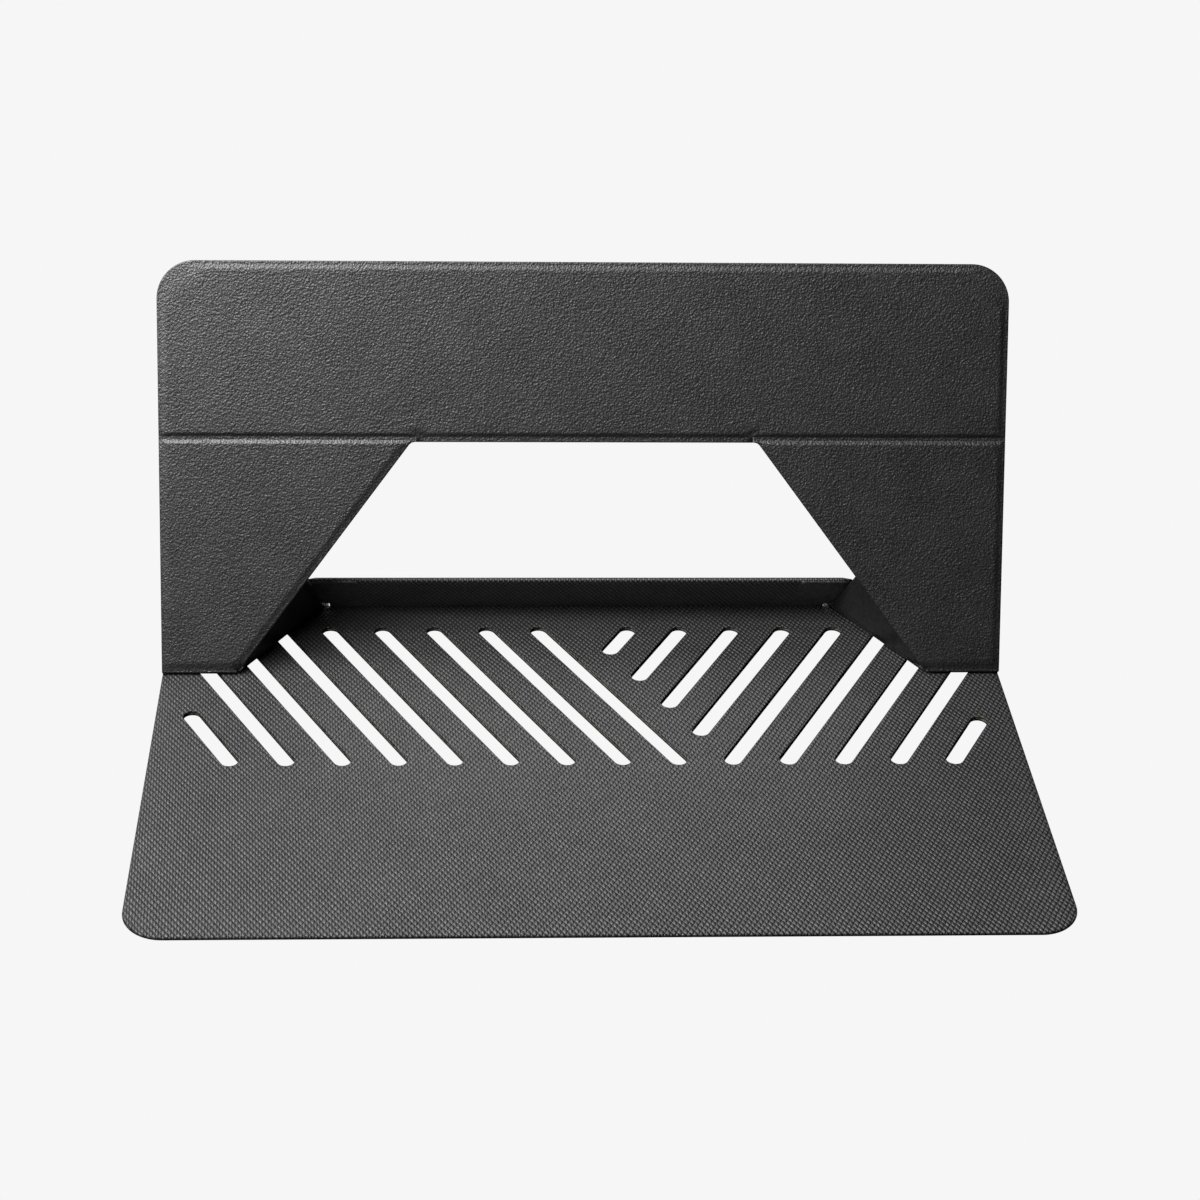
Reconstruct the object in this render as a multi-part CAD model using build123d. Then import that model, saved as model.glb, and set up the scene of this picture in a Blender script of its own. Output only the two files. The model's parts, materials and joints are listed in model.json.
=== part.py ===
from build123d import *
import os
from math import acos, atan2, cos, degrees, hypot, radians, sin, tan

os.makedirs("parts", exist_ok=True)

# Fold-flat laptop stand of covered board panels.  A vented base plate carries a
# leaning frame: two legs joined by a full-width strip.  Two triangular gussets
# hold the legs up from behind, and a low flap closes the back between them.
#
# Millimetres.  +X is the stand's width, +Y goes backwards, +Z is up.  The model
# is drawn with the legs' fold line at Y = 0 and the desk at Z = 0, and is moved
# at the end so that the origin is the centre of its footprint.

# Driving dimensions
width = 310.0              # overall width of the plate and the frame
front_depth = 150.0        # legs' fold line to the front edge
back_depth = 49.6          # legs' fold line to the rear fold line
leg_height = 86.0          # along the leg, from its fold to the strip's fold
lean = 65.2                # angle between the legs and the desk behind them
corner_radius = 14.0       # outer corners of the plate and the strip
back_corner_radius = 6.0
foot_inner = 127.0         # half the distance between the legs' inner feet
top_inner = 62.4           # half the window's width at the strip
gusset_root = 95.8         # half the distance between the gussets' rear ends
gusset_edge = 52.0         # length of the gusset's edge behind the leg
flap_height = 24.8
gusset_tip_radius = 4.0
flap_corner_radius = 1.5

# Panels: two skins round a stiff board
plate_half = 1.0           # half the plate's and the flap's thickness
plate_rim_half = 0.8       # the same where the skins meet round their edge
panel_half = 0.95          # half the thickness of every other panel
panel_rim_half = 0.5
web_half = 0.25            # half the thickness of the pressed skins in a fold
board_half = 0.5
rim = 2.2                  # width of the pressed rim
skin = 0.4
channel = 1.6              # half the width of a fold's channel
shoulder = 0.3             # step from the channel's side to the panel's full thickness
bead_radius = 0.5          # round cord of pressed skin on each fold's axis
running_gap = 0.15         # between a bead and the panel that turns round it
clearance = 0.35           # between panels of different bodies
relief_radius = 2.3        # round notches where three folds meet
lip = 0.9                  # how far the strip's lower rim stands past its fold
lip_root = 0.2             # how far that rim runs into the strip
crease_start = 1.0         # from the window's upper corner to the strip's crease
notch_margin = 1.2         # from the gusset's rear end to the side of the flap's notch
least_radius = 0.2         # corners rounder than this are rounded

# Vent slots
slot_width = 6.2
slot_front = -54.2         # centres of the slots' front ends
slot_rear = 29.7           # centres of the slots' rear ends
slot_pitch = 19.69
slot_slope = 0.556         # sideways travel for each millimetre backwards
slot_count = 9             # in each of the two opposed sets
left_set_start = 31.0      # front end of the long slot nearest the middle
right_set_start = 50.3     # front end of the first full slot of the other set
set_spacing = 19.3         # between the long slot and the ends that stop short of it
side_margin = 13.1         # from a slot's end centre to the plate's side

# Magnets and their steel keepers
magnet_length = 10.0
magnet_width = 4.0
magnet_half = 0.4
magnet_inset = 10.0        # from the panel's edge to the magnet's centre
gusset_magnet_inset = 7.0
strip_magnet_places = (-120.0, -45.0, 45.0, 120.0)
leg_magnet_heights = (18.0, 34.0)
gusset_magnet_distances = (18.0, 34.0)

plate_top = 2 * plate_half
fold_level = plate_top + clearance + panel_half
pad_top = fold_level + panel_half


def inset(points, amounts):
    """Corners of an anticlockwise polygon whose edges are moved inwards, each by its own amount."""
    lines = []
    for (x0, y0), (x1, y1), amount in zip(points, points[1:] + points[:1], amounts):
        length = hypot(x1 - x0, y1 - y0)
        dx = (x1 - x0) / length
        dy = (y1 - y0) / length
        lines.append((x0 - dy * amount, y0 + dx * amount, dx, dy))
    corners = []
    for (px, py, pdx, pdy), (qx, qy, qdx, qdy) in zip(lines[-1:] + lines[:-1], lines):
        travel = ((qx - px) * qdy - (qy - py) * qdx) / (pdx * qdy - pdy * qdx)
        corners.append((px + pdx * travel, py + pdy * travel))
    return corners


def outline(points, radii, less=0.0):
    """A flat face with rounded corners; less is taken off every radius."""
    face = make_face(Polyline(points, close=True))
    for point, radius in zip(points, radii):
        if radius - less > least_radius:
            corner = face.vertices().sort_by_distance((point[0], point[1], 0))[0]
            face = fillet(corner, radius - less)
    return face


def slab(face, height):
    """A flat solid from the middle plane to a signed height."""
    return extrude(face, abs(height), dir=(0, 0, 1 if height > 0 else -1))


def rod(start, end, radius):
    """A round bar between two points."""
    axis = Vector(end) - Vector(start)
    bar = Cylinder(radius, axis.length, align=(Align.CENTER, Align.CENTER, Align.MIN))
    return Plane(origin=start, z_dir=axis).location * bar


class Panel:
    """Two skins round a board.  Folds lists the edges that are fold lines, by index, each with
    the radius that the edge is cut back to, so that it meets or turns round the fold's bead."""

    def __init__(self, points, radii, folds, half, rim_half):
        self.half = half
        self.rim_half = rim_half
        free = [index not in folds for index in range(len(points))]
        edge = inset(points, [0.0 if loose else channel for loose in free])
        raised = inset(points, [rim if loose else channel + shoulder for loose in free])
        board = inset(points, [rim + skin if loose else channel + 2 * skin for loose in free])
        self.full = outline(points, radii)
        self.edge = outline(edge, radii)
        self.raised = outline(raised, radii, rim)
        self.core = outline(board, radii, rim + skin)
        self.cuts = []
        for index, radius in folds.items():
            start = Vector(*points[index], 0)
            end = Vector(*points[(index + 1) % len(points)], 0)
            past = (end - start).normalized()
            self.cuts.append(rod(start - past, end + past, radius))

    def skin(self, side):
        """The face's skin for side 1, or the back's for side -1."""
        body = slab(self.full, side * web_half) + slab(self.edge, side * self.rim_half)
        body = body + slab(self.raised, side * self.half) - slab(self.core, side * board_half)
        for cut in self.cuts:
            body = body - cut
        return body

    def board(self):
        return slab(self.core, board_half) + slab(self.core, -board_half)


def magnet(x, y, turn=0.0):
    return Pos(x, y, 0) * Rot(0, 0, turn) * Box(magnet_length, magnet_width, 2 * magnet_half)


def group(solids):
    """Separate solids kept as one node."""
    return Compound(children=[solid for item in solids for solid in item.solids()])


def minus(body, tools):
    for tool in tools:
        body = body - tool
    return body


nodes = {}


def add(name, body):
    nodes[name] = group([body])


def add_pair(name, body):
    """A right-hand piece and its mirror image."""
    add(name + "_right", body)
    add(name + "_left", mirror(body, about=Plane.YZ))


# Frames: each panel is drawn flat, with its fold along local X and its body towards local +Y
leg_frame = Pos(0, 0, fold_level) * Rot(lean, 0, 0)
strip_frame = leg_frame * Pos(0, leg_height, 0)
plate_frame = Pos(0, 0, plate_half)

# Angle of the gusset, raised from lying flat inwards, at which its edge meets the leg's back
gusset_length = hypot(foot_inner - gusset_root, back_depth)
gusset_angle = acos((foot_inner - gusset_root) / gusset_length)
gusset_raise = 2 * atan2(1, tan(radians(lean)) * cos(gusset_angle))
along = Vector(gusset_root - foot_inner, back_depth, 0) / gusset_length
inward = Vector(-along.Y, along.X, 0)
gusset_up = inward * cos(gusset_raise) + Vector(0, 0, 1) * sin(gusset_raise)
gusset_frame = Plane(
    origin=(foot_inner, 0, fold_level), x_dir=along, z_dir=along.cross(gusset_up)).location
gusset_tip = (gusset_edge * cos(gusset_angle), gusset_edge * sin(gusset_angle))

# The flap leans forward until its ends run along the gussets' rear edges
tip = Vector(foot_inner, 0, 0) + along * gusset_tip[0] + gusset_up * gusset_tip[1]
rear_edge = tip - Vector(gusset_root, back_depth, 0)
flap_lean = degrees(atan2(rear_edge.Z, -rear_edge.Y))
flap_flare = rear_edge.X / hypot(rear_edge.Y, rear_edge.Z)
flap_frame = Pos(0, back_depth, plate_half) * Rot(180 - flap_lean, 0, 0)

foot_corner = Pos(foot_inner, 0, fold_level) * Sphere(relief_radius)
root_corner = Pos(gusset_root, back_depth, fold_level) * Sphere(relief_radius)


def slots(half_width):
    """Both sets of vent slots, as cutters: the sets slant against each other."""
    cutters = []
    side_limit = width / 2 - side_margin
    for index in range(slot_count):
        front_x = left_set_start - index * slot_pitch
        rear_y = min(slot_rear, slot_front + (front_x + side_limit) / slot_slope)
        rear_x = front_x - slot_slope * (rear_y - slot_front)
        cutters.append(((front_x, slot_front), (rear_x, rear_y)))
    for index in range(slot_count):
        base_x = right_set_start + (index - 4) * slot_pitch
        room = (left_set_start + set_spacing - base_x) / (2 * slot_slope)
        front_y = slot_front + max(0.0, room)
        rear_y = min(slot_rear, slot_front + (side_limit - base_x) / slot_slope)
        front_x = base_x + slot_slope * (front_y - slot_front)
        rear_x = base_x + slot_slope * (rear_y - slot_front)
        cutters.append(((front_x, front_y), (rear_x, rear_y)))
    solids = []
    for start, end in cutters:
        face = SlotCenterToCenter(hypot(end[0] - start[0], end[1] - start[1]), 2 * half_width)
        turn = degrees(atan2(end[1] - start[1], end[0] - start[0]))
        middle = Pos((start[0] + end[0]) / 2, (start[1] + end[1]) / 2, 0)
        solids.append(middle * Rot(0, 0, turn) * extrude(face, 4 * plate_half, both=True))
    return solids


def make_base():
    """Base plate: woven lining above, smooth cover below, slots through all three layers."""
    side = width / 2
    root = gusset_root + notch_margin
    points = [
        (-side, -front_depth), (side, -front_depth), (side, back_depth + channel),
        (root, back_depth + channel), (root, back_depth), (-root, back_depth),
        (-root, back_depth + channel), (-side, back_depth + channel)]
    radii = [corner_radius, corner_radius, back_corner_radius, 0, 0, 0, 0, back_corner_radius]
    plate = Panel(points, radii, {4: bead_radius}, plate_half, plate_rim_half)
    through = slots(slot_width / 2)
    wide = slots(slot_width / 2 + skin)
    keepers = []
    for x in strip_magnet_places:
        keepers.append(magnet(x, magnet_inset - front_depth))
    add("base_lining", plate_frame * minus(plate.skin(1), through))
    add("base_cover", plate_frame * minus(plate.skin(-1), through))
    add("base_board", plate_frame * minus(plate.board(), wide + keepers))
    add("base_keepers", plate_frame * group(keepers))
    end = gusset_root - clearance
    add("flap_crease", rod((-end, back_depth, plate_half), (end, back_depth, plate_half), bead_radius))


def make_pads():
    """Anchor pads glued on the plate behind the legs: legs and gussets fold on their edges."""
    points = [
        (foot_inner, 0), (width / 2, 0), (width / 2, back_depth), (gusset_root, back_depth)]
    edge = inset(points, [channel, 0, 0, channel])
    board = inset(points, [channel + rim, rim, rim, channel + rim])
    depth = pad_top - plate_top
    cover = Pos(0, 0, plate_top) * slab(outline(edge, [0, 0, back_corner_radius, 0]), depth)
    web_face = outline(points, [0, 0, back_corner_radius, 0])
    web = Pos(0, 0, fold_level) * extrude(web_face, web_half, both=True)
    board_face = outline(board, [0, 0, back_corner_radius - rim, 0])
    core = Pos(0, 0, plate_top) * slab(board_face, depth - skin)
    leg_bead = rod(
        (foot_inner + relief_radius, 0, fold_level), (width / 2, 0, fold_level), bead_radius)
    start = Vector(foot_inner, 0, fold_level) + along * relief_radius
    end = Vector(gusset_root, back_depth, fold_level) - along * relief_radius
    gusset_bead = rod(start, end, bead_radius)
    add_pair("pad_board", core)
    add_pair("pad_cover", minus(cover + web, [core, leg_bead, gusset_bead, foot_corner, root_corner]))
    add_pair("leg_crease", leg_bead)
    add_pair("gusset_crease", gusset_bead)


def make_legs():
    """Legs, with a slanted inner edge that borders the window."""
    points = [(foot_inner, 0), (width / 2, 0), (width / 2, leg_height), (top_inner, leg_height)]
    folds = {0: bead_radius + running_gap, 2: bead_radius}
    panel = Panel(points, [0, 0, 0, 0], folds, panel_half, panel_rim_half)
    slope = (foot_inner - top_inner) / leg_height
    turn = degrees(atan2(1, -slope))
    magnets = []
    for height in leg_magnet_heights:
        magnets.append(magnet(foot_inner - slope * height + magnet_inset, height, turn))
    bead = rod((top_inner + crease_start, leg_height, 0), (width / 2, leg_height, 0), bead_radius)
    for name, side in (("leg_face", 1), ("leg_back", -1)):
        add_pair(name, minus(leg_frame * panel.skin(side), [foot_corner]))
    add_pair("leg_board", leg_frame * minus(panel.board(), magnets))
    add_pair("leg_magnets", leg_frame * group(magnets))
    add_pair("strip_crease", leg_frame * bead)


def make_strip():
    """Full-width strip that folds on the legs; its lower rim closes the top of the window."""
    side = width / 2
    height = front_depth - leg_height
    panel = Panel(
        [(-side, 0), (side, 0), (side, height), (-side, height)],
        [0, 0, corner_radius, corner_radius], {0: bead_radius + running_gap},
        panel_half, panel_rim_half)
    upwards = (Align.CENTER, Align.MIN, Align.MIN)
    lower_rim = Box(2 * (top_inner - crease_start), lip + channel + lip_root, panel_rim_half, align=upwards)
    lower_rim = Pos(0, -lip, 0) * lower_rim
    magnets = [magnet(x, height - magnet_inset) for x in strip_magnet_places]
    add("strip_face", strip_frame * (panel.skin(1) + lower_rim))
    add("strip_back", strip_frame * (panel.skin(-1) + Pos(0, 0, -panel_rim_half) * lower_rim))
    add("strip_board", strip_frame * minus(panel.board(), magnets))
    add("strip_magnets", strip_frame * group(magnets))


def gusset_trim(start, end, point, facing, half):
    """How far a gusset's edge moves in so that its rim clears a panel's surface.  The panel has
    the point in its middle plane and turns the direction of facing towards the gusset."""
    across = Vector(start[1] - end[1], end[0] - start[0], 0).normalized()
    into = along * across.X + gusset_up * across.Y
    corner = Vector(foot_inner, 0, fold_level) + along * start[0] + gusset_up * start[1]
    thickness = panel_rim_half * abs(along.cross(gusset_up).dot(facing))
    return (clearance + half + thickness - (corner - point).dot(facing)) / into.dot(facing)


def make_gussets():
    """Triangular gussets, cut back to clear the leg's back and the flap's front."""
    root = (gusset_length, 0)
    behind_leg = Vector(0, sin(radians(lean)), -cos(radians(lean)))
    before_flap = Vector(0, -sin(radians(flap_lean)), -cos(radians(flap_lean)))
    flap_trim = gusset_trim(root, gusset_tip, Vector(0, back_depth, plate_half), before_flap, plate_half)
    leg_trim = gusset_trim(gusset_tip, (0, 0), Vector(0, 0, fold_level), behind_leg, panel_half)
    points = inset([(0, 0), root, gusset_tip], [0, flap_trim, leg_trim])
    panel = Panel(
        points, [0, 0, gusset_tip_radius], {0: bead_radius + running_gap}, panel_half, panel_rim_half)
    trims = [foot_corner, root_corner]
    turn = degrees(gusset_angle)
    magnets = []
    for distance in gusset_magnet_distances:
        x = distance * cos(gusset_angle) + gusset_magnet_inset * sin(gusset_angle)
        y = distance * sin(gusset_angle) - gusset_magnet_inset * cos(gusset_angle)
        magnets.append(magnet(x, y, turn))
    for name, side in (("gusset_face", 1), ("gusset_back", -1)):
        add_pair(name, minus(gusset_frame * panel.skin(side), trims))
    add_pair("gusset_board", gusset_frame * minus(panel.board(), magnets))
    add_pair("gusset_magnets", gusset_frame * group(magnets))


def make_flap():
    """Low rear flap between the gussets."""
    root = gusset_root - clearance
    top = root + flap_flare * flap_height
    panel = Panel(
        [(-root, 0), (root, 0), (top, flap_height), (-top, flap_height)],
        [0, 0, flap_corner_radius, flap_corner_radius], {0: bead_radius + running_gap},
        plate_half, plate_rim_half)
    add("flap_lining", flap_frame * panel.skin(1))
    add("flap_cover", flap_frame * panel.skin(-1))
    add("flap_board", flap_frame * panel.board())


make_base()
make_pads()
make_legs()
make_strip()
make_gussets()
make_flap()

# The origin is the centre of the footprint, at desk level
rear_reach = front_depth * cos(radians(lean)) + panel_rim_half * sin(radians(lean))
centre_y = (rear_reach - front_depth) / 2
for name, body in nodes.items():
    placed = Pos(0, -centre_y, 0) * body
    export_step(placed, f"parts/{name}.step")
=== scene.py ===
import json
import math

import bpy
import numpy as np
from mathutils import Matrix, Vector
from mathutils.geometry import delaunay_2d_cdt


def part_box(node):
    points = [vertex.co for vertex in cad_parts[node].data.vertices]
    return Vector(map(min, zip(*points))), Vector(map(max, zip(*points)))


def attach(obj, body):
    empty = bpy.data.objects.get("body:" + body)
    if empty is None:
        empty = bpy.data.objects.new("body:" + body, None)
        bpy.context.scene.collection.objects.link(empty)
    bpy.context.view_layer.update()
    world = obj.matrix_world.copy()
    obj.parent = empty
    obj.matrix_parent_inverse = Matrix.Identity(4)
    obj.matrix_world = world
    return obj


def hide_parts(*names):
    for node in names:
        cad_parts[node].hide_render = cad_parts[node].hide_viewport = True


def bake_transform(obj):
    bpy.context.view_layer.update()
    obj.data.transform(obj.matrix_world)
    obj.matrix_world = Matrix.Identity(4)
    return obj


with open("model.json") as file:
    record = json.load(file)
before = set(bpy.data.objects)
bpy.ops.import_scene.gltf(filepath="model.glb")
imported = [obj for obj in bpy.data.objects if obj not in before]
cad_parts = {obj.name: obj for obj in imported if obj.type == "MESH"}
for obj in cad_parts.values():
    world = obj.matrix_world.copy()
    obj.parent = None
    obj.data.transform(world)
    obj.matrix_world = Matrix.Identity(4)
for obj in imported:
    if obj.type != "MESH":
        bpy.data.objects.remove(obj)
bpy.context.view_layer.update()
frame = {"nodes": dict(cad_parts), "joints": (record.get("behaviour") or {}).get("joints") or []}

MM = 0.001
FAR = 1e9                  # a distance or a height that limits nothing

# ---------------------------------------------------------------- sizes, in millimetres
# Panels are drawn flat, in millimetres, with a fold line along local X, and are then placed.
PLATE_HALF = 1.0           # half the plate's and the flap's thickness
PLATE_RIM = 0.8            # the same at the edge
PANEL_HALF = 0.95          # half the thickness of the legs, the strip and the gussets
PANEL_RIM = 0.5
THINNEST = 0.02            # half the thickness of any skin's very edge
SKIN = 0.38                # thickness of a skin over its board
BOARD_HALF = 0.52
FOLD_HALF = 0.8            # half the width of a crease's own band of skin
SHARP = 0.1                # radius of corners that meet another piece
CORNER = 14.0
BACK_CORNER = 6.0
PLATE_TAIL = 1.6           # how far the plate's rear corners reach past the flap's fold
TOP_INNER = 62.4           # half the window's width at the strip
WINDOW_ROUND = 2.4         # radius of the window's upper corners
STRIP_LIP = 1.35           # how far the strip's lower rim stands past its fold
CREASE_START = TOP_INNER - 0.6
GUSSET_EDGE = 52.0
GUSSET_CLEARANCE = 0.12
FLAP_HEIGHT = 24.8
FLAP_REACH = 3.7           # how far the flap's ends reach past the gussets' edge lines
FLAP_CLEARANCE = 0.35      # between the flap's fold and the notch in the plate
TAB = 0.3                  # thickness of the smooth tabs at the flap's ends
TAB_LENGTH = 13.0

SLOT_HALF = 3.1
SLOT_FRONT = -54.2
SLOT_REAR = 29.7
SLOT_PITCH = 19.69
SLOT_SLOPE = 0.556
SLOT_COUNT = 9             # in each set
LEFT_SET_START = 31.0
RIGHT_SET_START = 50.3
RIGHT_SET_CUT = 4          # slots of the right set that start behind its front line
SET_SPACING = 19.3
SIDE_MARGIN = 13.1

# How finely the pieces are meshed
ARC_STEP = 1.2
EDGE_STEP = 2.5
SLOT_STEP = 3.0
GRID_STEP = 4.0
RIM_GAPS = [0, 0.04, 0.15, 0.3, 0.5, 0.8, 1.1, 1.4, 1.7, 2.0, 2.3, 2.6, 2.9, 3.3, 3.8]
PLATE_GAPS = [0, 0.05, 0.18, 0.4, 0.7, 1.0, 1.4, 1.8, 2.4]
PAD_GAPS = [0, 0.05, 0.2, 0.45, 0.6, 0.7, 1.0, 1.5, 2.2, 3.0, 4.0]
TAB_GAPS = [0, 0.08, 0.2, 0.5, 1.0, 1.8, 3.0]
BAND_GAPS = [0, 0.04, 0.1, 0.2, 0.3, 0.5, 0.8, 1.1, 1.4, 1.7, 2.0, 2.3, 2.6, 2.9, 3.3]
BAND_STEPS = 17            # points across a crease's band

# ---------------------------------------------------------------- places, from the frame
joints = {joint["name"]: joint for joint in frame["joints"]}


def joint_place(name):
    return Vector(joints[name]["pos_m"])


def joint_range(name):
    return math.radians(joints[name]["range_deg"][1])


leg_line = joint_place("leg_fold")
strip_line = joint_place("strip_fold")
flap_line = joint_place("rear_flap_fold")
gusset_line = joint_place("right_gusset_fold")
plate_low, plate_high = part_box("base_cover")
HALF_WIDTH = plate_high.x / MM
FRONT = (leg_line.y - plate_low.y) / MM
BACK = (flap_line.y - leg_line.y) / MM
LEG_HEIGHT = (strip_line - leg_line).length / MM
STRIP_HEIGHT = FRONT - LEG_HEIGHT
FOOT_INNER = gusset_line.x / MM
gusset_axis = Vector(joints["right_gusset_fold"]["axis"])
ROOT = FOOT_INNER - BACK * abs(gusset_axis.x / gusset_axis.y)
GUSSET_LENGTH = math.hypot(FOOT_INNER - ROOT, BACK)
GUSSET_ANGLE = math.atan2(BACK, FOOT_INNER - ROOT)
FLAP_ROOT = ROOT - FLAP_CLEARANCE
FLAP_FLARE = (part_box("flap_lining")[1].x / MM - FLAP_ROOT) / FLAP_HEIGHT
LEAN = math.pi - joint_range("leg_fold")
FLAP_LEAN = math.pi - joint_range("rear_flap_fold")


def placed(origin, along, towards):
    """A panel's frame: local X along its fold, local Y towards its body, local Z out of its face."""
    out = along.cross(towards)
    turn = Matrix((along, towards, out)).transposed().to_4x4()
    return Matrix.Translation(origin) @ turn


X_AXIS = Vector((1, 0, 0))
back_way = Vector((0, 1, 0))
lean_way = Vector((0, math.cos(LEAN), math.sin(LEAN)))
flap_way = Vector((0, -math.cos(FLAP_LEAN), math.sin(FLAP_LEAN)))
gusset_along = -gusset_axis
gusset_inward = Vector((-gusset_along.y, gusset_along.x, 0))
gusset_raise = joint_range("right_gusset_fold")
gusset_way = gusset_inward * math.cos(gusset_raise) + Vector((0, 0, 1)) * math.sin(gusset_raise)
plate_frame = Matrix.Translation((0, leg_line.y, flap_line.z))
leg_frame = placed(leg_line, X_AXIS, lean_way)
strip_frame = placed(strip_line, X_AXIS, lean_way)
flap_frame = placed(flap_line, X_AXIS, flap_way)
gusset_frame = placed(gusset_line, gusset_along, gusset_way)
MIRROR = Matrix.Scale(-1, 4, X_AXIS)


# ---------------------------------------------------------------- outlines
def inset(points, amounts):
    """Corners of an anticlockwise polygon with each edge moved inwards by its own amount."""
    lines = []
    for (x0, y0), (x1, y1), amount in zip(points, points[1:] + points[:1], amounts):
        length = math.hypot(x1 - x0, y1 - y0)
        dx = (x1 - x0) / length
        dy = (y1 - y0) / length
        lines.append((x0 - dy * amount, y0 + dx * amount, dx, dy))
    corners = []
    for (px, py, pdx, pdy), (qx, qy, qdx, qdy) in zip(lines[-1:] + lines[:-1], lines):
        travel = ((qx - px) * qdy - (qy - py) * qdx) / (pdx * qdy - pdy * qdx)
        corners.append((px + pdx * travel, py + pdy * travel))
    return corners


def rounded(points, radii, spacing=EDGE_STEP):
    """The closed outline of a polygon with rounded corners, as an array of points."""
    path = []
    count = len(points)
    for i in range(count):
        before = Vector(points[i - 1])
        here = Vector(points[i])
        after = Vector(points[(i + 1) % count])
        back = (before - here).normalized()
        ahead = (after - here).normalized()
        half_angle = back.angle(ahead) / 2
        radius = radii[i]
        reach = radius / math.tan(half_angle)
        middle = here + (back + ahead).normalized() * radius / math.sin(half_angle)
        start = here + back * reach - middle
        end = here + ahead * reach - middle
        sweep = math.atan2(start.x * end.y - start.y * end.x, start.dot(end))
        steps = max(2, int(abs(sweep) * radius / ARC_STEP) + 1)
        for k in range(steps + 1):
            turned = Matrix.Rotation(sweep * k / steps, 2) @ start
            path.append(middle + turned)
    full = []
    for a, b in zip(path, path[1:] + path[:1]):
        steps = max(1, round((b - a).length / spacing))
        for k in range(steps):
            full.append(a.lerp(b, k / steps))
    return np.array([tuple(p) for p in full])


def open_distance(points, segments):
    """Distance of every point from a set of straight segments."""
    best = np.full(len(points), FAR)
    for start, end in segments:
        step = end - start
        t = np.clip(((points - start) @ step) / max(step @ step, 1e-12), 0, 1)
        gap = np.hypot(*(points - start - t[:, None] * step).T)
        best = np.minimum(best, gap)
    return best


def steps_of(loop):
    """A closed outline's small straight steps, as pairs of points."""
    return np.stack([loop, np.roll(loop, -1, axis=0)], 1)


def distance(points, loop):
    """Distance of every point from a closed outline."""
    return open_distance(points, steps_of(loop))


def inside(points, loops):
    """Whether each point is inside an odd number of the outlines."""
    odd = np.zeros(len(points), bool)
    for loop in loops:
        for (x0, y0), (x1, y1) in zip(loop, np.roll(loop, -1, axis=0)):
            if y0 == y1:
                continue
            crosses = (points[:, 1] < y0) != (points[:, 1] < y1)
            x = x0 + (points[:, 1] - y0) * (x1 - x0) / (y1 - y0)
            odd ^= crosses & (points[:, 0] < x)
    return odd


def rings(loop, gaps):
    """Copies of an outline at the given distances to its left."""
    run = np.roll(loop, -1, axis=0) - np.roll(loop, 1, axis=0)
    left = np.stack([-run[:, 1], run[:, 0]], 1) / np.hypot(*run.T)[:, None]
    return [loop + left * gap for gap in gaps]


def smooth_step(t):
    t = np.clip(t, 0, 1)
    return t * t * (3 - 2 * t)


def edge_cap(d, radius):
    """Height allowed by a quarter-round edge of the given radius; no limit beyond it."""
    t = 1 - np.clip(d / radius, 0, 1)
    return np.where(d < radius, THINNEST + radius * np.sqrt(np.maximum(0, 1 - t * t)), FAR)


def mesh_panel(loop, holes, gaps, spacing):
    """Flat triangles of an outline with holes: fine rings along the edges and a wide grid between."""
    boundary = [loop] + [hole[::-1] for hole in holes]
    hole_rings = []
    for line in boundary:
        hole_rings += rings(line, gaps[1:])
    low = loop.min(0)
    high = loop.max(0)
    xs = np.arange(low[0] + spacing / 2, high[0], spacing)
    ys = np.arange(low[1] + spacing / 2, high[1], spacing)
    grid = np.stack(np.meshgrid(xs, ys), -1).reshape(-1, 2)
    near = [distance(grid, line) for line in boundary]
    grid = grid[np.min(near, axis=0) > gaps[-1] + spacing * 0.4]
    extra = np.concatenate(hole_rings)
    gap_of = np.concatenate([
        np.full(len(line), gap) for line in boundary for gap in gaps[1:]])
    clear = np.min([distance(extra, line) for line in boundary], axis=0) > gap_of - 1e-3
    extra = np.concatenate([extra[clear], grid])
    extra = extra[inside(extra, boundary)]
    points = [Vector(p) for line in boundary for p in line] + [Vector(p) for p in extra]
    edges = []
    first = 0
    for line in boundary:
        count = len(line)
        edges += [(first + k, first + (k + 1) % count) for k in range(count)]
        first += count
    flat, _, faces, _, _, _ = delaunay_2d_cdt(points, edges, [], 0, 1e-5)
    flat = np.array([tuple(p) for p in flat])
    middles = np.array([flat[list(face)].mean(0) for face in faces])
    keep = inside(middles, boundary)
    return flat, [tuple(face) for face, wanted in zip(faces, keep) if wanted]


def shell(name, flat, faces, outer, inner, side):
    """A closed skin between two heights over the same triangles."""
    count = len(flat)
    top = np.column_stack([flat, outer * side])
    under = np.column_stack([flat, inner * side])
    solid = []
    used = {}
    for face in faces:
        for a, b in zip(face, face[1:] + face[:1]):
            used[(a, b)] = True
    for face in faces:
        solid.append(face)
        solid.append(tuple(count + i for i in reversed(face)))
    for a, b in used:
        if (b, a) not in used:
            solid.append((b, a, count + a, count + b))
    if side < 0:
        solid = [tuple(reversed(face)) for face in solid]
    return make_object(name, np.concatenate([top, under]) * MM, solid)


def make_object(name, points, faces):
    mesh = bpy.data.meshes.new(name)
    mesh.from_pydata([tuple(p) for p in points], [], faces)
    mesh.validate()
    mesh.polygons.foreach_set("use_smooth", [True] * len(mesh.polygons))
    mesh.set_sharp_from_angle(angle=math.radians(50))
    made = bpy.data.objects.new(name, mesh)
    bpy.context.scene.collection.objects.link(made)
    return made


# ---------------------------------------------------------------- materials
SHEEN = 0.75               # specular level of the coated skins
# The leather's darkest and lightest spots follow the raised wrinkles, so they are partly painted shade and
# painted highlight; the faint mottle is a random tone.
LEATHER_TONES = (0.4, 1.6)     # darkest and lightest spots, as shares of a material's value
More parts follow.
